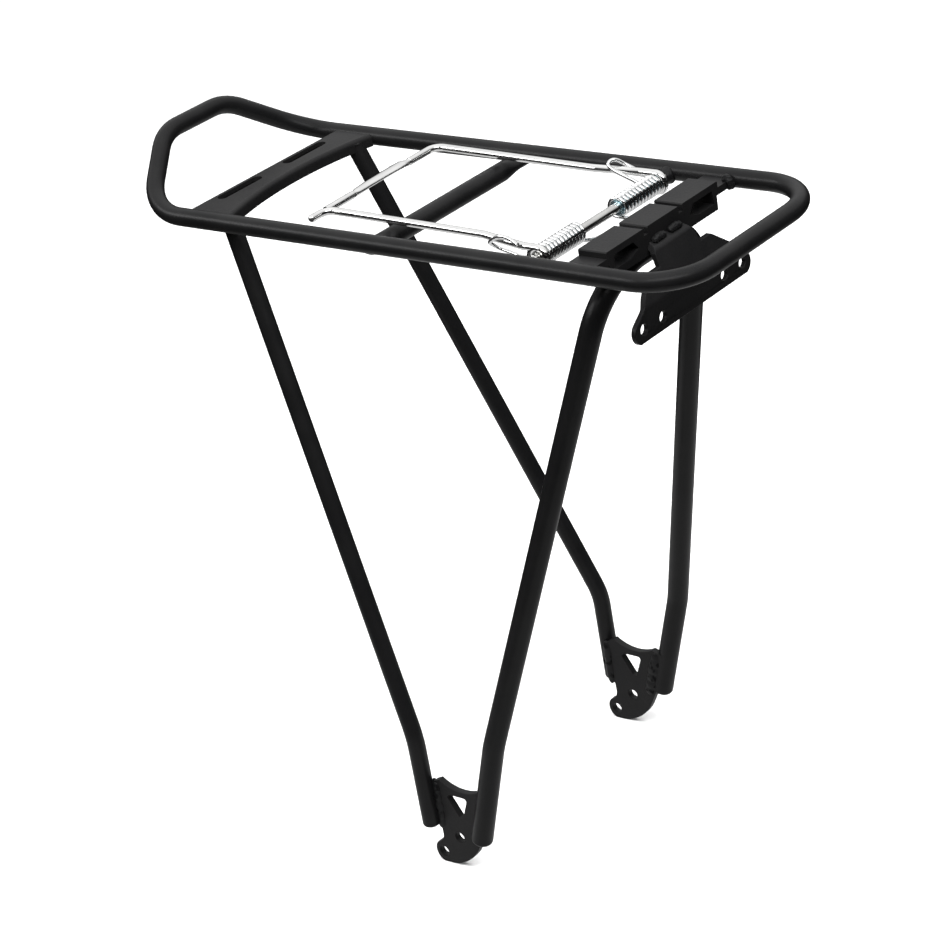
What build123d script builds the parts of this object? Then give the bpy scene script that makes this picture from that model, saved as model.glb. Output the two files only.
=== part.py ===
from build123d import *
from math import cos, radians, tan
import os

os.makedirs("parts", exist_ok=True)

# Axes: +X to the rear of the bicycle, +Y to its left, +Z up. The origin is the midpoint
# between the two upper dropout holes. Millimetres throughout.

# ---- main frame -----------------------------------------------------------------------
deck_z = 315.0            # rail centre height over the upper dropout holes
rail_d = 9.2
leg_d = 9.1               # front legs
rail_y = 60.0             # half the centre distance of the rails
rear_x = 168.0            # centre of the rear cross section of the rail loop
rear_corner_r = 31.0      # far side; the near corner is bent a little tighter
rear_corner_near_r = 26.0
nose_x = -148.3           # where the rail lines would turn into the raised nose
nose_r = 30.0
nose_top_x = -166.7       # raised cross section at the front
nose_top_y = 22.9
nose_rise = 26.4
nose_top_r = 26.0

# ---- front plate ----------------------------------------------------------------------
plate_top = deck_z + 2.6
plate_t = 2.0
plate_half_w = 55.6       # leaves a thin groove beside each rail
plate_front_x = -125.8
plate_rear_far_x = -100.2  # rear edge beside the far rail
plate_rear_near_x = -97.6  # and beside the near rail
plate_rear_mid_x = -107.3  # rear edge on the centre line
plate_flange_h = 6.2
plate_fold_r = 2.4
slot_x = -119.3
slot_y = 24.7
slot_len = 31.0
slot_w = 5.5

# ---- middle tube ----------------------------------------------------------------------
mid_d = 9.6
mid_x = -7.3
mid_z = deck_z - 3.3
mid_end_w = 12.4          # pressed ends that butt against the rails
mid_end_t = 6.4
mid_end_z = deck_z - 2.4
mid_round_y = 43.0        # round up to here, then pressed
mid_pressed_y = 50.0

# ---- rear block -----------------------------------------------------------------------
block_x0 = 103.4
block_x1 = 119.0
pad_top = 4.3             # heights in this section are over the rail centre
pad_mid_half = 12.5
pad_gap = 3.0
groove_floor = 0.8
block_half = 43.0
pad_half = 44.4
ledge_top = 1.2
ledge_low = -2.4
block_low = -9.2
window = [(20.5, -3.0), (24.0, 1.2), (39.5, 1.2), (40.4, -5.6), (27.5, -5.6)]

# ---- rear hoop and front legs ---------------------------------------------------------
hoop_d = 11.0
hoop_bend = (35.0, 80.0, deck_z - 251.7)
hoop_lean = 0.3116        # X per unit height
hoop_splay = 0.1787       # Y per unit height, inward going up
hoop_top = -11.8
hoop_arch_r = 33.0
hoop_foot_z = 3.5
leg_bend = (-16.3, 80.0, deck_z - 259.4)
leg_lean = -0.3484
leg_splay = 0.1218
leg_foot_z = 4.9
leg_foot_x = -15.6
leg_bend_r = 40.0
foot_round = 2.0
vent_d = 3.2
vent_z = 16.0

# ---- dropouts -------------------------------------------------------------------------
drop_y = 76.3
drop_t = 3.6
drop_hole_d = 6.0
drop_eye = (-12.2, -11.3)  # lower hole

# ---- lamp bracket ---------------------------------------------------------------------
lamp_t = 2.5
lamp_x = 131.0            # rear face of the upright part
lamp_hole_z = -33.1
lamp_hole_d = 5.6
lamp_inner = 25.0
lamp_outer = 40.0
lamp_bend_z = -24.0
lamp_neck_top = (119.0, -3.4)
lamp_neck_mid = (122.9, -5.2)

# ---- spring clamp ---------------------------------------------------------------------
rod_x = 82.6
rod_z = deck_z - 1.0
rod_d = 4.8
wire_d = 3.8
eye_gap = 0.08
eye_y = 47.0
bail_x = -44.6            # crossbar where it meets the near arm
bail_far_x = -46.4        # and at the far corner
bail_z = deck_z + 6.6
arm_near_y = -44.0
arm_far_y = 41.6
arm_step_x = 50.0
arm_step_z = deck_z + 4.9
corner_r = 6.0
tail_y = -57.0
grip_y0 = -22.0
grip_y1 = 17.0
grip_w = 6.2
grip_t = 3.0
grip_shift = (-0.8, 0.4)     # the grip is pressed a little forward and up
neck_len = 3.0            # from the wire to the grip
spring_wire = 1.9
coil_r = 4.3              # mean coil radius
coil_far = (13.6, 43.9, 11)  # inner end, outer end, turns
coil_near = (-16.0, -43.9, 11)
sleeve_od = 6.5
# the hooked legs, heights over the rail centre
hook_far = [
    (73.0, 43.4, -0.5), (69.0, 42.6, 1.6), (65.0, 41.8, 3.6), (61.2, 41.2, 5.9),
    (59.5, 41.8, 7.8), (60.1, 43.4, 9.0), (61.8, 45.4, 8.7), (64.0, 47.4, 6.6),
    (66.7, 48.7, 4.6), (69.4, 49.3, 3.2),
]
hook_near = [
    (72.0, -43.0, -4.9), (65.6, -42.2, -3.7), (59.7, -42.0, -2.6), (56.0, -42.6, -1.3),
    (54.6, -44.8, 0.9), (56.0, -47.6, 3.4), (59.2, -48.3, 5.7), (63.0, -48.7, 7.3),
    (67.4, -48.9, 7.3), (71.1, -49.2, 6.0), (73.7, -49.8, 5.0),
]


def rounded_wire(points, radii):
    """Straight runs through the points, each inner corner rounded with its own radius."""
    pts = [Vector(*p) for p in points]
    edges = []
    start = pts[0]
    for i in range(1, len(pts) - 1):
        u = (pts[i] - pts[i - 1]).normalized()
        w = (pts[i + 1] - pts[i]).normalized()
        half = radians(u.get_angle(w)) / 2
        cut = radii[i - 1] * tan(half)
        a = pts[i] - u * cut
        b = pts[i] + w * cut
        inward = (w - u).normalized()
        mid = pts[i] + inward * (radii[i - 1] / cos(half) - radii[i - 1])
        edges.append(Line(start, a))
        edges.append(ThreePointArc(a, mid, b))
        start = b
    edges.append(Line(start, pts[-1]))
    return Wire(edges)


def tube_along(wire, diameter):
    """Round bar along a wire."""
    section = Plane(origin=wire @ 0, z_dir=wire % 0) * Circle(diameter / 2)
    return sweep(section, path=wire)


def both_sides(half):
    """A symmetric bar from the half with Y above zero."""
    return half + mirror(half, about=Plane.XZ)


def save(part, label):
    part.label = label
    export_step(part, "parts/" + label + ".step")


# ---- rail loop: level rails, square rear end, raised and narrowed nose --------------------
def loop_half(side, corner):
    path = [
        (rear_x, 0, deck_z),
        (rear_x, side * rail_y, deck_z),
        (nose_x, side * rail_y, deck_z),
        (nose_top_x, side * nose_top_y, deck_z + nose_rise),
        (nose_top_x, 0, deck_z + nose_rise),
    ]
    return tube_along(rounded_wire(path, [corner, nose_r, nose_top_r]), rail_d)


rail_loop = loop_half(1, rear_corner_r) + loop_half(-1, rear_corner_near_r)
save(rail_loop, "rail_loop")

# ---- rear hoop: two legs that meet in an arch under the rear block ------------------------
bend_to_top = deck_z + hoop_top - hoop_bend[2]
corner_y = hoop_bend[1] - hoop_splay * bend_to_top
hoop_foot = (
    hoop_bend[0] - hoop_lean * (hoop_bend[2] - hoop_foot_z),
    hoop_bend[1],
    hoop_foot_z,
)
hoop_corner = (hoop_bend[0] + hoop_lean * bend_to_top, corner_y, deck_z + hoop_top)
hoop_half = tube_along(
    rounded_wire(
        [hoop_foot, hoop_bend, hoop_corner, (hoop_corner[0], 0, hoop_corner[2])],
        [leg_bend_r, hoop_arch_r],
    ),
    hoop_d,
)
foot_edge = hoop_half.edges().sort_by(Axis.Z)[0]
hoop_half = fillet(foot_edge, foot_round)
rear_hoop = both_sides(hoop_half)
save(rear_hoop, "rear_hoop")

# ---- front legs -------------------------------------------------------------------------
leg_rise = plate_top + 4.0 - leg_bend[2]
leg_top = (
    leg_bend[0] + leg_lean * leg_rise,
    leg_bend[1] - leg_splay * leg_rise,
    leg_bend[2] + leg_rise,
)
leg_foot = (leg_foot_x, leg_bend[1], leg_foot_z)
leg = tube_along(rounded_wire([leg_foot, leg_bend, leg_top], [leg_bend_r]), leg_d)
leg = fillet(leg.edges().sort_by(Axis.Z)[0], foot_round)
over_plate = Pos(leg_top[0], leg_top[1], plate_top - plate_t + 15) * Box(40, 40, 30)
vent = Pos(leg_bend[0], leg_bend[1] - leg_d / 2, vent_z) * Rot(90, 0, 0) * Cylinder(vent_d / 2, 3)
front_leg_far = leg - over_plate - vent
front_leg_near = mirror(front_leg_far, about=Plane.XZ)
save(front_leg_far, "front_leg_far")
save(front_leg_near, "front_leg_near")

# ---- front plate: flat top with two slots, front edge and curved rear edge folded down ------
def plate_sketch(inset):
    """Outline of the plate, its front and rear edges set in by a distance."""
    near = (plate_rear_near_x - inset, -plate_half_w)
    far = (plate_rear_far_x - inset, plate_half_w)
    front = plate_front_x + inset
    with BuildSketch(Plane.XY.offset(plate_top)) as outline:
        with BuildLine():
            Polyline(far, (front, plate_half_w), (front, -plate_half_w), near)
            ThreePointArc(near, (plate_rear_mid_x - inset, 0), far)
        make_face()
    return outline.sketch


plate_outer = extrude(plate_sketch(0), amount=-plate_flange_h)
rear_arc = plate_outer.edges().filter_by(GeomType.CIRCLE).sort_by(Axis.Z)[-1]
front_edge = plate_outer.edges().filter_by(Axis.Y).group_by(Axis.Z)[-1].sort_by(Axis.X)[0]
plate_outer = fillet([rear_arc, front_edge], plate_fold_r)
plate_inner = extrude(plate_sketch(plate_t), amount=-plate_flange_h).translate((0, 0, -plate_t))
with BuildPart() as front_plate:
    add(plate_outer)
    add(plate_inner, mode=Mode.SUBTRACT)
    with BuildSketch(Plane.XY.offset(plate_top)):
        with Locations((slot_x, slot_y), (slot_x, -slot_y)):
            SlotOverall(slot_len, slot_w, rotation=90)
    extrude(amount=-plate_t, mode=Mode.SUBTRACT)
    add(rail_loop, mode=Mode.SUBTRACT)
    add([front_leg_far, front_leg_near], mode=Mode.SUBTRACT)
save(front_plate.part, "front_plate")

# ---- middle tube: round, with both ends pressed and welded between the rails ----------------
with BuildPart() as middle_tube:
    with BuildSketch(Plane.XZ.offset(-mid_round_y)):
        with Locations((mid_x, mid_z)):
            Circle(mid_d / 2)
    extrude(amount=2 * mid_round_y)
    for side in (1, -1):
        with BuildSketch(Plane.XZ.offset(-side * mid_round_y)):
            with Locations((mid_x, mid_z)):
                Circle(mid_d / 2)
        with BuildSketch(Plane.XZ.offset(-side * mid_pressed_y)):
            with Locations((mid_x, mid_end_z)):
                Ellipse(mid_end_w / 2, mid_end_t / 2)
        loft()
        with BuildSketch(Plane.XZ.offset(-side * mid_pressed_y)):
            with Locations((mid_x, mid_end_z)):
                Ellipse(mid_end_w / 2, mid_end_t / 2)
        extrude(amount=-side * (rail_y - mid_pressed_y))
    add(rail_loop, mode=Mode.SUBTRACT)
save(middle_tube.part, "middle_tube")

# ---- rear block: three pads, two end ledges, two chambers -----------------------------------
groove_mid = pad_mid_half + pad_gap / 2
groove_h = pad_top - groove_floor
groove_z = deck_z + pad_top - groove_h / 2
with BuildPart() as rear_block:
    with BuildSketch(Plane.YZ.offset(block_x0)):
        with Locations((0, deck_z + (pad_top + block_low) / 2)):
            Rectangle(2 * block_half, pad_top - block_low)
        with Locations((0, deck_z + (pad_top + ledge_top) / 2)):
            Rectangle(2 * pad_half, pad_top - ledge_top)
        with Locations((0, deck_z + (ledge_top + ledge_low) / 2)):
            Rectangle(2 * rail_y, ledge_top - ledge_low)
        with Locations((groove_mid, groove_z), (-groove_mid, groove_z)):
            Rectangle(pad_gap, groove_h, mode=Mode.SUBTRACT)
        for side in (1, -1):
            with BuildLine():
                Polyline(*[(side * y, deck_z + z) for y, z in window], close=True)
            make_face(mode=Mode.SUBTRACT)
    extrude(amount=block_x1 - block_x0)
    top_edges = rear_block.faces().filter_by(Plane.XY).sort_by(Axis.Z)[-3:].edges()
    chamfer(top_edges.filter_by(Axis.X), 0.5)
    add([rail_loop, rear_hoop], mode=Mode.SUBTRACT)
save(rear_block.part, "rear_block")

# ---- lamp bracket: sloping neck, then an upright wide plate with four holes -----------------
with BuildPart() as lamp_bracket:
    with BuildSketch(Plane.XZ.offset(-rail_y)):
        with BuildLine():
            FilletPolyline(
                (lamp_neck_top[0], deck_z + lamp_neck_top[1]),
                (lamp_neck_mid[0], deck_z + lamp_neck_mid[1]),
                (lamp_x, deck_z + lamp_bend_z),
                (lamp_x, deck_z - 45.0),
                radius=4.0,
            )
            offset(amount=lamp_t, side=Side.RIGHT)
        make_face()
    extrude(amount=2 * rail_y)
    with BuildSketch(Plane.YZ.offset(block_x0)):
        with BuildLine():
            Polyline(
                (0, deck_z + 2.0),
                (-13.0, deck_z + 2.0),
                (-13.0, deck_z - 4.0),
                (-15.6, deck_z - 7.5),
                (-16.4, deck_z - 13.2),
                (-25.0, deck_z - 13.2),
                (-35.0, deck_z - 21.0),
                (-39.0, deck_z - 25.4),
                (-45.0, deck_z - 29.6),
            )
            ThreePointArc((-45.0, deck_z - 29.6), (-47.0, deck_z - 34.0), (-43.4, deck_z - 39.3))
            Line((-43.4, deck_z - 39.3), (0, deck_z - 39.3))
            mirror(about=Plane.YZ)
        make_face()
    extrude(amount=60, mode=Mode.INTERSECT)
    with BuildSketch(Plane.YZ.offset(lamp_x + 2)):
        hole_ys = (-lamp_outer, -lamp_inner, lamp_inner, lamp_outer)
        with Locations(*[(y, deck_z + lamp_hole_z) for y in hole_ys]):
            Circle(lamp_hole_d / 2)
    extrude(amount=-2 - 2 * lamp_t, mode=Mode.SUBTRACT)
    add(rear_block.part, mode=Mode.SUBTRACT)
save(lamp_bracket.part, "lamp_bracket")

# ---- dropouts: thick plates between the legs, two lobes with a hole each, one window --------
with BuildPart() as dropout:
    with BuildSketch(Plane.XZ.offset(-drop_y - drop_t / 2)):
        with BuildLine():
            Polyline((-10.8, 0.5), (-11.0, 4.5), (-12.5, 7.0), (-12.5, 29.6), (-10.5, 31.1), (-7.4, 32.5))
            ThreePointArc((-7.4, 32.5), (6.0, 28.1), (17.0, 30.8))
            Polyline((17.0, 30.8), (24.0, 28.6), (15.2, 3.0), (11.2, -4.4))
            ThreePointArc((11.2, -4.4), (-0.2, -14.8), (-13.0, -17.2))
            ThreePointArc((-13.0, -17.2), (-17.3, -11.3), (-15.5, -6.4))
            ThreePointArc((-15.5, -6.4), (-11.6, -3.4), (-10.8, 0.5))
        make_face()
        with BuildSketch(mode=Mode.PRIVATE) as drop_window:
            with BuildLine():
                Polyline((-5.0, 24.9), (9.2, 24.9), (3.6, 10.4), close=True)
            make_face()
            fillet(drop_window.vertices(), 1.6)
        add(drop_window.sketch, mode=Mode.SUBTRACT)
        with Locations((0, 0), drop_eye):
            Circle(drop_hole_d / 2, mode=Mode.SUBTRACT)
    extrude(amount=drop_t)
    add([front_leg_far, rear_hoop], mode=Mode.SUBTRACT)
dropout_far = dropout.part
dropout_near = mirror(dropout_far, about=Plane.XZ)
save(dropout_far, "dropout_far")
save(dropout_near, "dropout_near")

# ---- clamp rod between the rails ------------------------------------------------------------
with BuildPart() as clamp_rod:
    with BuildSketch(Plane.XZ.offset(-rail_y)):
        with Locations((rod_x, rod_z)):
            Circle(rod_d / 2)
    extrude(amount=2 * rail_y)
    add(rail_loop, mode=Mode.SUBTRACT)
save(clamp_rod.part, "clamp_rod")

# ---- bail: each arm ends in an eye around the rod ---------------------------------------------
eye_r = rod_d / 2 + eye_gap + wire_d / 2


def eye(y):
    return Pos(rod_x, y, rod_z) * Rot(90, 0, 0) * Torus(eye_r, wire_d / 2)


def bar_x(y):
    """The crossbar runs very slightly askew."""
    return bail_x + (bail_far_x - bail_x) * (y - arm_near_y) / (arm_far_y - arm_near_y)


far_wire = rounded_wire(
    [
        (rod_x, eye_y, rod_z + eye_r),
        (rod_x - 8.0, eye_y, rod_z + eye_r),
        (arm_step_x, arm_far_y, arm_step_z),
        (bail_far_x, arm_far_y, bail_z),
        (bar_x(grip_y1 + neck_len), grip_y1 + neck_len, bail_z),
    ],
    [12.0, 20.0, corner_r],
)
near_wire = rounded_wire(
    [
        (rod_x, -eye_y, rod_z + eye_r),
        (rod_x - 8.0, -eye_y, rod_z + eye_r),
        (arm_step_x, arm_near_y, arm_step_z),
        (bail_x, arm_near_y, bail_z),
        (bail_x, tail_y + wire_d / 2, bail_z),
    ],
    [12.0, 20.0, corner_r],
)
bail_arm_near = tube_along(near_wire, wire_d) + eye(-eye_y)
bail_arm_near += Pos(bail_x, tail_y + wire_d / 2, bail_z) * Sphere(wire_d / 2)
save(bail_arm_near, "bail_arm_near")


def bar_section(y, half_w, half_t, shift=0.0):
    x = bar_x(y) + shift * grip_shift[0]
    z = bail_z + shift * grip_shift[1]
    return Pos(x, y, z) * Rot(90, 0, 0) * Ellipse(half_w, half_t)


wire_r = wire_d / 2
neck_r = 0.86 * wire_r
bar_stations = [
    (grip_y1 + neck_len + 1.0, 0.93 * wire_r, 0.93 * wire_r),
    (grip_y1 + 1.2, neck_r, neck_r),
    (grip_y1 - 1.5, 0.92 * grip_w / 2, 1.05 * grip_t / 2, 0.9),
    (grip_y1 - 6.0, 1.06 * grip_w / 2, grip_t / 2, 1.0),
    (grip_y1 - 14.0, grip_w / 2, grip_t / 2, 1.0),
    (grip_y0 + 10.0, 0.92 * grip_w / 2, 1.04 * grip_t / 2, 0.8),
    (grip_y0 + 1.5, 0.80 * grip_w / 2, 1.1 * grip_t / 2, 0.3),
    (grip_y0 - 1.2, neck_r, neck_r),
    (grip_y0 - neck_len, wire_r, wire_r),
    (arm_near_y - 1.0, wire_r, wire_r),
]
grip = loft([bar_section(*station) for station in bar_stations], ruled=True)
bail_bar = tube_along(far_wire, wire_d) + eye(eye_y) + grip
bail_bar -= bail_arm_near
save(bail_bar, "bail_bar")


# ---- torsion springs: coil on the rod, one leg in a groove of the block, one over the arm ----
def spring(coil, hook_points, rest_points):
    """Resting leg, coil from its inner to its outer end, then the leg hooked over the arm."""
    y_in, y_out, turns = coil
    far = y_out > 0
    length = abs(y_out - y_in)
    helix = Helix(
        pitch=length / turns,
        height=length,
        radius=coil_r,
        direction=(0, 1 if far else -1, 0),
        lefthand=not far,
    )
    helix = Pos(rod_x, y_in, rod_z) * Rot(0, 180 if far else 0, 0) * helix
    rest = Spline(*rest_points, helix @ 0, tangents=[(-1, 0, 0), helix % 0])
    hook = Spline(
        helix @ 1,
        *[(x, y, deck_z + z) for x, y, z in hook_points],
        tangents=[helix % 1, Vector(*hook_points[-1]) - Vector(*hook_points[-2])],
    )
    return tube_along(Wire([rest, helix, hook]), spring_wire)


in_groove_z = deck_z + groove_floor + spring_wire / 2 + 0.05
rest_near = [(block_x1 - 3.0, -groove_mid, in_groove_z), (block_x0, -groove_mid, in_groove_z)]
rest_far = [
    (block_x0 - 0.1, coil_far[0], deck_z - 5.9),
    (block_x0 - 6.0, coil_far[0], deck_z - 5.8),
]
spring_far = spring(coil_far, hook_far, rest_far)
spring_near = spring(coil_near, hook_near, rest_near)
save(spring_far, "spring_far")
save(spring_near, "spring_near")


def sleeve(coil):
    """Plain bush between the rod and the coil."""
    y_in, y_out = coil[:2]
    tube = Cylinder(sleeve_od / 2, abs(y_out - y_in)) - Cylinder(rod_d / 2 + eye_gap, 100)
    return Pos(rod_x, (y_in + y_out) / 2, rod_z) * Rot(90, 0, 0) * tube


save(sleeve(coil_far), "sleeve_far")
save(sleeve(coil_near), "sleeve_near")


# ---- weld beads -------------------------------------------------------------------------------
def bead(points, radius, *parents):
    """Row of overlapping drops along the points, each cut back to the parents' surfaces."""
    drops = []
    for x, y, z in points:
        drop = Pos(x, y, deck_z + z) * Sphere(radius)
        for parent in parents:
            drop -= parent
        drops.append(drop)
    seam = drops[0]
    for drop in drops[1:]:
        seam += drop
    return seam


block_seam = [(117.9, 53.6, 1.6), (119.0, 53.8, 0.3), (119.3, 54.2, -1.2)]
block_seam_low = [(119.0, 53.8, -1.6), (119.3, 54.2, -2.9)]
neck_seam = [(120.0, 3.2, -3.3), (120.2, 5.3, -2.8), (120.2, 7.5, -2.9), (120.0, 9.6, -3.5)]
rod_fillet = Pos(rod_x, rail_y - 5.6, rod_z) * Rot(90, 0, 0) * Cone(4.7, 2.6, 4.2)
weld_block_far = bead(block_seam, 2.5, rail_loop, rear_block.part)
weld_block_near = mirror(bead(block_seam_low, 2.5, rail_loop, rear_block.part), about=Plane.XZ)
weld_neck_far = bead(neck_seam, 2.0, rear_block.part, lamp_bracket.part)
weld_rod_far = rod_fillet - rail_loop - clamp_rod.part
save(weld_block_far, "weld_block_far")
save(weld_block_near, "weld_block_near")
for weld, name in ((weld_neck_far, "weld_neck"), (weld_rod_far, "weld_rod")):
    save(weld, name + "_far")
    save(mirror(weld, about=Plane.XZ), name + "_near")
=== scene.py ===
import math

import bpy
from mathutils import Matrix, Vector


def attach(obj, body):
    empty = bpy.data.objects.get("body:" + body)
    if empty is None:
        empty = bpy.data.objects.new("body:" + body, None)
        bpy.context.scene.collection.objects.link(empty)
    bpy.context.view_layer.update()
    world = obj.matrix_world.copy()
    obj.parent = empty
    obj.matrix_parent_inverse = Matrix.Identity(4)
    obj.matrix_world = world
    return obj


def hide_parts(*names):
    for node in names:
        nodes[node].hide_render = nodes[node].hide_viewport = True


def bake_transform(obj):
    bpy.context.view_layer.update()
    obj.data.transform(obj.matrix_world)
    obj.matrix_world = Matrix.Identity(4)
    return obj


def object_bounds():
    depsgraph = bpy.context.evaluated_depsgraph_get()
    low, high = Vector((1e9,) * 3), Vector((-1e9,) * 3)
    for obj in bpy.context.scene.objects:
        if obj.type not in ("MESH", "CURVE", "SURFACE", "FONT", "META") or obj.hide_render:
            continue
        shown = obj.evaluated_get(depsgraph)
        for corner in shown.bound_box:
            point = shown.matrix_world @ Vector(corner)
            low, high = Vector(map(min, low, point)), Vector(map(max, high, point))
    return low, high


# The whole scene is in metres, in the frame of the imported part: origin between the two upper
# dropout holes, +X to the rear of the bicycle, +Y to its left, +Z up.
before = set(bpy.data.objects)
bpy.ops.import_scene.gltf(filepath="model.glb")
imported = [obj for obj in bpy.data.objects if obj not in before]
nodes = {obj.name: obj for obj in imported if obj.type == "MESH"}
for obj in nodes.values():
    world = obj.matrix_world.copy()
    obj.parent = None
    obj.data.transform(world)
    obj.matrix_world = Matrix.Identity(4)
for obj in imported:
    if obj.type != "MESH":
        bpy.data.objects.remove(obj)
cad_low, cad_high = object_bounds()

MM = 0.001


def mm(*values):
    """Millimetres to metres."""
    return tuple(v * MM for v in values)


def grey(value):
    return (value, value, value)


# ---- materials ----------------------------------------------------------------------------
def new_material(name):
    """Empty node material; returns it with its tree, its shader and object coordinates."""
    mat = bpy.data.materials.new(name)
    mat.use_nodes = True
    tree = mat.node_tree
    shader = tree.nodes["Principled BSDF"]
    coords = tree.nodes.new("ShaderNodeTexCoord").outputs["Object"]
    return mat, tree, shader, coords


def noise(tree, coords, scale, detail=3.0, rough=0.5, stretch=None):
    """Noise over object space; scale is in features per metre."""
    if stretch:
        mapping = tree.nodes.new("ShaderNodeMapping")
        mapping.inputs["Scale"].default_value = stretch
        tree.links.new(coords, mapping.inputs["Vector"])
        coords = mapping.outputs["Vector"]
    tex = tree.nodes.new("ShaderNodeTexNoise")
    tex.inputs["Scale"].default_value = scale
    tex.inputs["Detail"].default_value = detail
    tex.inputs["Roughness"].default_value = rough
    tree.links.new(coords, tex.inputs["Vector"])
    return tex.outputs["Fac"]


def ramp(tree, value, stops):
    """Colour ramp through (position, colour) stops."""
    node = tree.nodes.new("ShaderNodeValToRGB")
    elements = node.color_ramp.elements
    while len(elements) < len(stops):
        elements.new(0.5)
    for element, (place, colour) in zip(elements, stops):
        element.position = place
        element.color = (*colour, 1)
    tree.links.new(value, node.inputs["Fac"])
    return node.outputs["Color"]


def remap(tree, value, low, high, from_low=0.3, from_high=0.7):
    """Stretch a value to run from low to high; noise mostly lies between 0.3 and 0.7."""
    node = tree.nodes.new("ShaderNodeMapRange")
    node.inputs["From Min"].default_value = from_low
    node.inputs["From Max"].default_value = from_high
    node.inputs["To Min"].default_value = low
    node.inputs["To Max"].default_value = high
    tree.links.new(value, node.inputs["Value"])
    return node.outputs["Result"]


def bump(tree, height, distance, strength, below=None):
    """Bumps of a height in metres, on top of the bumps below."""
    node = tree.nodes.new("ShaderNodeBump")
    node.inputs["Distance"].default_value = distance
    node.inputs["Strength"].default_value = strength
    tree.links.new(height, node.inputs["Height"])
    if below is not None:
        tree.links.new(below, node.inputs["Normal"])
    return node.outputs["Normal"]


def powder_coat(name, dark, light, rough, grain, lumps):
    """Black powder coat: slow waves, orange peel and fine grain over slightly uneven black."""
    mat, tree, shader, coords = new_material(name)
    patches = noise(tree, coords, 38.0, 4.0, 0.6)
    peel = noise(tree, coords, 620.0, 2.0, 0.5)
    fine = noise(tree, coords, 2600.0, 3.0, 0.7)
    wave = noise(tree, coords, 130.0, 2.0, 0.4)
    tint = ramp(tree, patches, [(0.3, dark), (0.7, light)])
    tree.links.new(tint, shader.inputs["Base Color"])
    tree.links.new(remap(tree, fine, rough - 0.05, rough + 0.07), shader.inputs["Roughness"])
    shader.inputs["Specular IOR Level"].default_value = 0.16
    low = bump(tree, wave, 0.00030 * lumps, 0.25)
    mid = bump(tree, peel, 0.00009 * grain, 0.5, low)
    tree.links.new(bump(tree, fine, 0.00003 * grain, 0.5, mid), shader.inputs["Normal"])
    return mat


def plated(name, tint_low, tint_high, rough_low, rough_high, streak):
    """Bright plated steel with faint clouding and fine marks, drawn out where streak is small."""
    mat, tree, shader, coords = new_material(name)
    cloud = noise(tree, coords, 90.0, 4.0, 0.6)
    marks = noise(tree, coords, 1500.0, 2.0, 0.6, streak)
    tint = ramp(tree, cloud, [(0.3, tint_low), (0.7, tint_high)])
    tree.links.new(tint, shader.inputs["Base Color"])
    tree.links.new(remap(tree, marks, rough_low, rough_high), shader.inputs["Roughness"])
    shader.inputs["Metallic"].default_value = 1.0
    soft = bump(tree, cloud, 0.00020, 0.15)
    tree.links.new(bump(tree, marks, 0.00001, 0.3, soft), shader.inputs["Normal"])
    return mat


def weld_coat(name):
    """Paint over a weld: like the rest, with matt pits where it did not flow."""
    mat = powder_coat(name, (0.0045, 0.0045, 0.0048), (0.0070, 0.0070, 0.0072),
                      rough=0.40, grain=1.2, lumps=2.0)
    tree = mat.node_tree
    coords = tree.nodes.new("ShaderNodeTexCoord").outputs["Object"]
    pits = noise(tree, coords, 260.0, 2.0, 0.5)
    shader = tree.nodes["Principled BSDF"]
    tree.links.new(remap(tree, pits, 0.18, 0.02, 0.56, 0.64), shader.inputs["Specular IOR Level"])
    return mat


coat = powder_coat("powder_coat", (0.0050, 0.0050, 0.0053), (0.0080, 0.0079, 0.0081),
                   rough=0.31, grain=1.0, lumps=0.8)
coat_sheet = powder_coat("powder_coat_sheet", (0.0055, 0.0055, 0.0058), (0.0088, 0.0086, 0.0088),
                         rough=0.40, grain=1.6, lumps=0.6)
coat_weld = weld_coat("powder_coat_weld")
chrome_wire = plated("chrome_wire", grey(0.80), (0.93, 0.93, 0.92),
                     rough_low=0.03, rough_high=0.09, streak=(0.12, 1.0, 1.0))
rod_steel = plated("rod_steel", (0.62, 0.62, 0.61), (0.78, 0.78, 0.76),
                   rough_low=0.14, rough_high=0.26, streak=(1.0, 0.12, 1.0))
spring_steel = plated("spring_steel", (0.78, 0.79, 0.79), grey(0.92),
                      rough_low=0.03, rough_high=0.09, streak=(1.0, 1.0, 1.0))
bush_zinc = plated("bush_zinc", (0.34, 0.52, 0.60), (0.62, 0.76, 0.80),
                   rough_low=0.16, rough_high=0.30, streak=(1.0, 0.15, 1.0))


# ---- finish of the CAD parts ---------------------------------------------------------------
def dress(obj, mat):
    """Make this the only material of a piece."""
    obj.data.materials.clear()
    obj.data.materials.append(mat)


def soften(obj, width, angle=32):
    """Small rounded edges, as thick paint leaves them."""
    weld = obj.modifiers.new("join", "WELD")
    weld.merge_threshold = 1e-6
    edge = obj.modifiers.new("edges", "BEVEL")
    edge.width = width
    edge.segments = 3
    edge.limit_method = "ANGLE"
    edge.angle_limit = math.radians(angle)
    edge.harden_normals = True
    edge.use_clamp_overlap = True


def melt(obj, roughness):
    """Run the drops of a weld into each other and leave its skin rough by that many metres."""
    skin = obj.modifiers.new("skin", "REMESH")
    skin.mode = "VOXEL"
    skin.voxel_size = 0.25 * MM
    skin.use_smooth_shade = True
    flow = obj.modifiers.new("flow", "SMOOTH")
    flow.factor = 0.8
    flow.iterations = 22
    clouds = bpy.data.textures.new("weld_lumps", "CLOUDS")
    clouds.noise_scale = 1.3 * MM
    lumps = obj.modifiers.new("lumps", "DISPLACE")
    lumps.texture = clouds
    lumps.strength = roughness
    lumps.mid_level = 0.5


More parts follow.
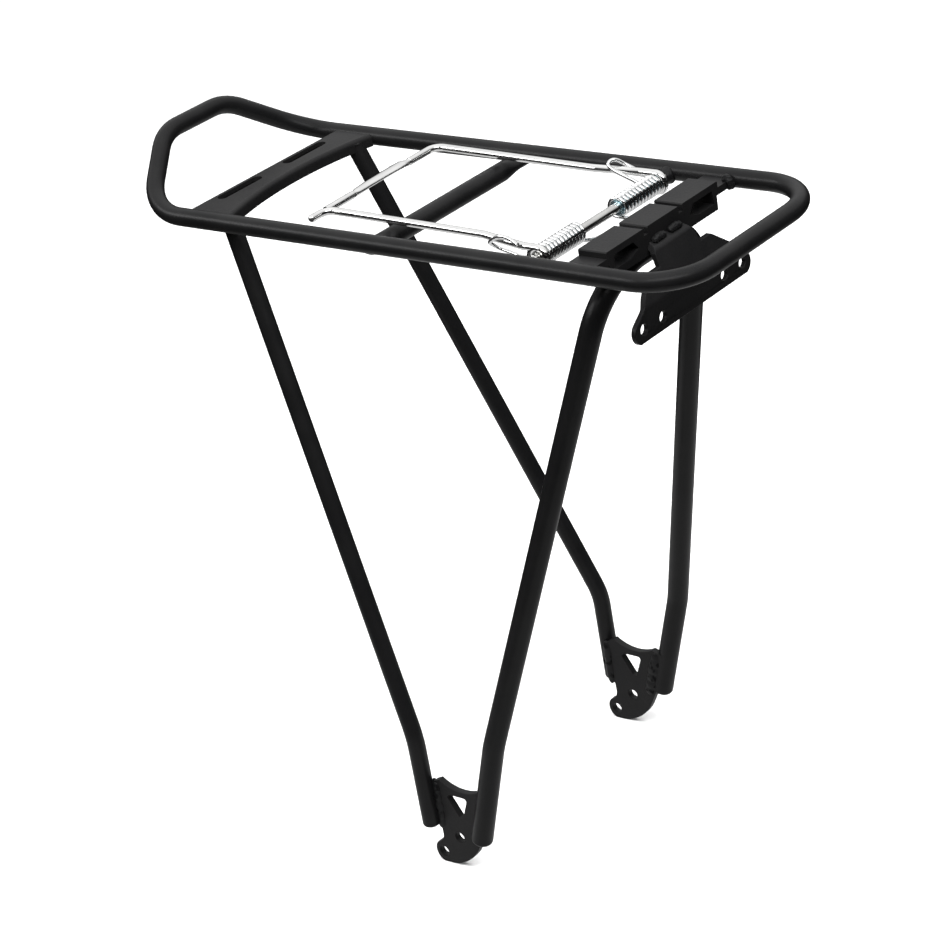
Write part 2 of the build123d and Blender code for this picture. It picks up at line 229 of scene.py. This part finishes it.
for name in ("rail_loop", "rear_hoop", "middle_tube", "front_leg_far", "front_leg_near"):
    dress(nodes[name], coat)
for name in ("front_plate", "rear_block", "lamp_bracket", "dropout_far", "dropout_near"):
    dress(nodes[name], coat_sheet)
for name in [n for n in nodes if n.startswith("weld_")]:
    on_rod = name.startswith("weld_rod")
    dress(nodes[name], coat if on_rod else coat_weld)
    melt(nodes[name], (0.15 if on_rod else 0.7) * MM)
for name in ("bail_bar", "bail_arm_near"):
    dress(nodes[name], chrome_wire)
dress(nodes["clamp_rod"], rod_steel)
for name in ("sleeve_far", "sleeve_near"):
    dress(nodes[name], bush_zinc)
edge_widths = {
    "lamp_bracket": 0.45,
    "dropout_far": 0.5,
    "dropout_near": 0.5,
    "rear_block": 0.35,
    "front_plate": 0.4,
}
for name, width in edge_widths.items():
    soften(nodes[name], width * MM)


# ---- torsion springs: each coil winds up between its resting leg and the arm ------------------
def spring(side):
    """Copy of the spring wire in spring steel, from frame to clamp; the CAD part is hidden."""
    node = "spring_" + side
    obj = bpy.data.objects.new("torsion_spring_" + side, nodes[node].data.copy())
    bpy.context.scene.collection.objects.link(obj)
    dress(obj, spring_steel)
    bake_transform(obj)
    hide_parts(node)


spring("far")
spring("near")


# ---- weld seams ------------------------------------------------------------------------------
RINGS_PER_DROP = 8
SIDES = 18
REACH = 0.6 * MM                        # the seam's direction is taken over this far each way
ASKEW = Vector((0.31, 0.17, 0.93))      # along none of the seams
MANY = 12.9                             # spread the drops' sizes unevenly
SHIFT = 7.7


def seam(name, path, radius, closed=False, step=1.7, squash=1.0, ripple=0.12):
    """Seam of stacked drops of uneven size, step millimetres apart; squash scales its Y."""
    points = [Vector(p) for p in path]
    if closed:
        points.append(points[0].copy())
    lengths = [0.0]
    for a, b in zip(points, points[1:]):
        lengths.append(lengths[-1] + (b - a).length)
    total = lengths[-1]
    drops = max(2, round(total / (step * MM)))
    steps = drops * RINGS_PER_DROP
    count = steps if closed else steps + 1
    verts, faces = [], []

    def at(s):
        """Place on the path after a length s."""
        s = min(max(s, 0.0), total)
        i = next((k for k in range(1, len(lengths)) if lengths[k] >= s), len(lengths) - 1)
        share = (s - lengths[i - 1]) / max(lengths[i] - lengths[i - 1], 1e-9)
        return points[i - 1].lerp(points[i], share)

    for k in range(count):
        s = total * k / steps
        here = at(s)
        along = (at(s + REACH) - at(s - REACH)).normalized()
        side = along.cross(ASKEW).normalized()
        up = side.cross(along)
        # the crest of each drop leans to one end, and every drop has its own size
        drop, phase = k // RINGS_PER_DROP, (k % RINGS_PER_DROP) / RINGS_PER_DROP
        crest = math.sin(math.pi * phase ** 0.8) ** 0.7
        own = 0.5 + 0.5 * math.sin(MANY * (drop % drops) + SHIFT * radius / MM)
        swell = ripple * crest * (0.4 + own) + 0.14 * own * math.sin(math.pi * phase)
        size = radius * (0.80 + swell)
        if not closed:
            # an open seam narrows over its first and last drop
            end = min(k, steps - k) / RINGS_PER_DROP
            size *= min(1.0, 0.35 + 0.65 * math.sqrt(min(end, 1.0)))
        for j in range(SIDES):
            turn = 2 * math.pi * j / SIDES
            dent = 1 + 0.05 * math.sin(3 * turn + 2.1 * drop + own * 4) * crest
            out = (side * math.cos(turn) + up * math.sin(turn)) * size * dent
            verts.append(here + Vector((out.x, out.y * squash, out.z)))
    rings = count if closed else count - 1
    for k in range(rings):
        a, b = k * SIDES, ((k + 1) % count) * SIDES
        for j in range(SIDES):
            n = (j + 1) % SIDES
            faces.append((a + j, a + n, b + n, b + j))
    if not closed:
        faces.append(tuple(range(SIDES - 1, -1, -1)))
        faces.append(tuple((count - 1) * SIDES + j for j in range(SIDES)))
    mesh = bpy.data.meshes.new(name)
    mesh.from_pydata([v[:] for v in verts], [], faces)
    mesh.validate()
    for poly in mesh.polygons:
        poly.use_smooth = True
    obj = bpy.data.objects.new(name, mesh)
    bpy.context.scene.collection.objects.link(obj)
    dress(obj, coat_weld)
    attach(obj, "frame")


# Places of the welded tubes, in millimetres
DECK_Z = 315.0              # rail centres
RAIL_Y = 60.0
RAIL_R = 4.6
HOOP_FOOT = (16.4, 3.5)     # X and Z of the hoop's leg at its foot
HOOP_LEAN = 0.3116          # X per unit height
LEG_TOP = (-107.7, 48.0)    # X and Y of the front leg under the plate
LEG_TOP_HALF = (4.9, 4.7)   # and its cut there, half its X and Y
MIDDLE_X = -7.3             # pressed end of the middle tube
MIDDLE_DROP = 2.4
MIDDLE_HALF = (6.3, 3.3)    # half its X and Z
ARCH_TOP_Z = DECK_Z - 9.5

ARC_POINTS = 13
RING_POINTS = 24
foot_seam = {"step": 5.0, "ripple": 0.04}


def leg_seam(name, x, y, low, high, radius, squash):
    """Seam of a dropout plate to the upright foot of the front leg."""
    ends = [mm(x, y, z) for z in (low, high)]
    seam(name, ends, radius * MM, squash=squash, **foot_seam)


def hoop_seam(name, ahead, y, radius, squash):
    """Seam of a dropout plate to the hoop's leg, so far ahead of the axis of that leg."""
    foot_x, foot_z = HOOP_FOOT
    ends = [mm(foot_x + HOOP_LEAN * (z - foot_z) - ahead, y, z) for z in (2.5, 29.5)]
    seam(name, ends, radius * MM, squash=squash, **foot_seam)


def middle_seam(name, side):
    """Seam of the middle tube to the rail, over the top of its pressed end."""
    arc = []
    for k in range(ARC_POINTS):
        turn = math.pi * (k / (ARC_POINTS - 1) * 1.1 - 0.05)
        x = MIDDLE_X + MIDDLE_HALF[0] * math.cos(turn)
        z = -MIDDLE_DROP + MIDDLE_HALF[1] * math.sin(turn)
        bulge = math.sqrt(max(RAIL_R**2 - z * z, 0))
        arc.append(mm(x, side * (RAIL_Y - bulge - 0.1), DECK_Z + z))
    seam(name, arc, 0.95 * MM)


def plate_seam(name, side):
    """Seam round the top of a front leg, on the underside of the front plate."""
    ring = []
    for k in range(RING_POINTS):
        turn = 2 * math.pi * k / RING_POINTS
        x = LEG_TOP[0] + LEG_TOP_HALF[0] * math.cos(turn)
        y = LEG_TOP[1] + LEG_TOP_HALF[1] * math.sin(turn)
        ring.append(mm(x, side * y, DECK_Z + 0.1))
    seam(name, ring, 1.0 * MM, closed=True)


for side, tag in ((1, "far"), (-1, "near")):
    # outer face of the dropout, then its inner face
    leg_seam("seam_leg_out_" + tag, -10.6, side * 77.7, 3.0, 30.5, radius=3.3, squash=0.6)
    leg_seam("seam_leg_in_" + tag, -13.2, side * 75.0, 4.0, 30.0, radius=3.0, squash=0.7)
    hoop_seam("seam_hoop_out_" + tag, 5.3, side * 78.4, radius=2.1, squash=0.8)
    hoop_seam("seam_hoop_in_" + tag, 5.0, side * 75.1, radius=3.5, squash=0.5)
    middle_seam("seam_middle_" + tag, side)
    plate_seam("seam_plate_" + tag, side)
# arch of the hoop to the underside of the rear block
for x, tag in ((104.9, "front"), (114.6, "rear")):
    seam("seam_arch_" + tag, [mm(x, y, ARCH_TOP_Z) for y in (-19, 19)], 1.2 * MM)

# ---- floor -------------------------------------------------------------------------------------
FLOOR_HALF = 6.0
floor_z = cad_low.z
corners = [(x * FLOOR_HALF, y * FLOOR_HALF, floor_z) for x, y in ((-1, -1), (1, -1), (1, 1), (-1, 1))]
floor_mesh = bpy.data.meshes.new("floor")
floor_mesh.from_pydata(corners, [], [(0, 1, 2, 3)])
floor = bpy.data.objects.new("floor", floor_mesh)
bpy.context.scene.collection.objects.link(floor)
floor_mat, floor_tree, floor_shader, floor_coords = new_material("floor_paper")
floor_shade = noise(floor_tree, floor_coords, 3.0)
floor_tint = ramp(floor_tree, floor_shade, [(0.3, grey(0.86)), (0.7, grey(0.88))])
floor_tree.links.new(floor_tint, floor_shader.inputs["Base Color"])
floor_shader.inputs["Roughness"].default_value = 0.9
floor_shader.inputs["Specular IOR Level"].default_value = 0.1
dress(floor, floor_mat)
# the rack is not lit by the floor; the bounce light below does that
floor.visible_diffuse = False
floor.visible_glossy = False

# ---- light ---------------------------------------------------------------------------------------
# The sky is a broad soft light overhead, tilted a little to the front and the far side, with a
# dark band under it and a dim room below. The camera sees plain white.
world = bpy.data.worlds.new("studio")
bpy.context.scene.world = world
world.use_nodes = True
sky = world.node_tree
room = sky.nodes["Background"]
view_dir = sky.nodes.new("ShaderNodeTexCoord").outputs["Generated"]
tilt = sky.nodes.new("ShaderNodeVectorMath")
tilt.operation = "DOT_PRODUCT"
tilt.inputs[1].default_value = (-0.15, 0.17, 0.974)
sky.links.new(view_dir, tilt.inputs[0])
glow = ramp(sky, remap(sky, tilt.outputs["Value"], 0.0, 1.0, -1.0, 1.0), [
    (0.00, grey(0.05)),
    (0.30, grey(0.08)),
    (0.37, grey(0.01)),
    (0.65, grey(0.01)),
    (0.71, grey(0.60)),
    (0.80, grey(0.82)),
    (1.00, grey(1.10)),
])
sky.links.new(glow, room.inputs["Color"])
room.inputs["Strength"].default_value = 1.0
white = sky.nodes.new("ShaderNodeBackground")
white.inputs["Strength"].default_value = 1.0
ray = sky.nodes.new("ShaderNodeLightPath")
either = sky.nodes.new("ShaderNodeMixShader")
sky.links.new(ray.outputs["Is Camera Ray"], either.inputs["Fac"])
sky.links.new(room.outputs["Background"], either.inputs[1])
sky.links.new(white.outputs["Background"], either.inputs[2])
sky.links.new(either.outputs["Shader"], sky.nodes["World Output"].inputs["Surface"])


def softbox(name, place, target, size, power):
    """Area light of that size in metres and power in watts, aimed at the target."""
    light = bpy.data.lights.new(name, "AREA")
    light.shape = "RECTANGLE"
    light.size, light.size_y = size
    light.energy = power
    obj = bpy.data.objects.new(name, light)
    obj.location = place
    obj.rotation_euler = (Vector(target) - Vector(place)).to_track_quat("-Z", "Y").to_euler()
    bpy.context.scene.collection.objects.link(obj)
    return obj


top_box = softbox("top_box", (0.35, -0.25, 1.7), (0.0, 0.0, 0.2), size=(1.5, 1.5), power=60)
top_box.visible_glossy = False
softbox("right_strip", (0.79, -0.89, 1.37), (0.0, 0.0, 0.3), size=(1.8, 0.40), power=9)
softbox("left_strip", (-0.90, -0.97, 1.01), (0.0, 0.0, 0.3), size=(1.3, 0.35), power=8)
# light that the paper throws back up around the feet; it lies just above the floor
bounce = softbox("bounce", (0.02, 0.0, floor_z + 0.3 * MM), (0.02, 0.0, 1.0),
                 size=(0.75, 0.75), power=1.15)
bounce.visible_camera = False

# ---- camera --------------------------------------------------------------------------------------
camera = bpy.data.objects.new("camera", bpy.data.cameras.new("camera"))
bpy.context.scene.collection.objects.link(camera)
right = Vector((0.78162, 0.60535, -0.15041))
up = Vector((-0.15616, 0.42336, 0.89240))
back = Vector((0.60389, -0.67403, 0.42544))
place = Vector((0.88919, -1.01397, 0.80414))
camera.matrix_world = Matrix((
    (right.x, up.x, back.x, place.x),
    (right.y, up.y, back.y, place.y),
    (right.z, up.z, back.z, place.z),
    (0, 0, 0, 1),
))
camera.data.sensor_width = 36
camera.data.lens = 113.68
camera.data.clip_start = 0.01
camera.data.clip_end = 50
bpy.context.scene.camera = camera
bpy.context.scene.view_settings.view_transform = "Standard"
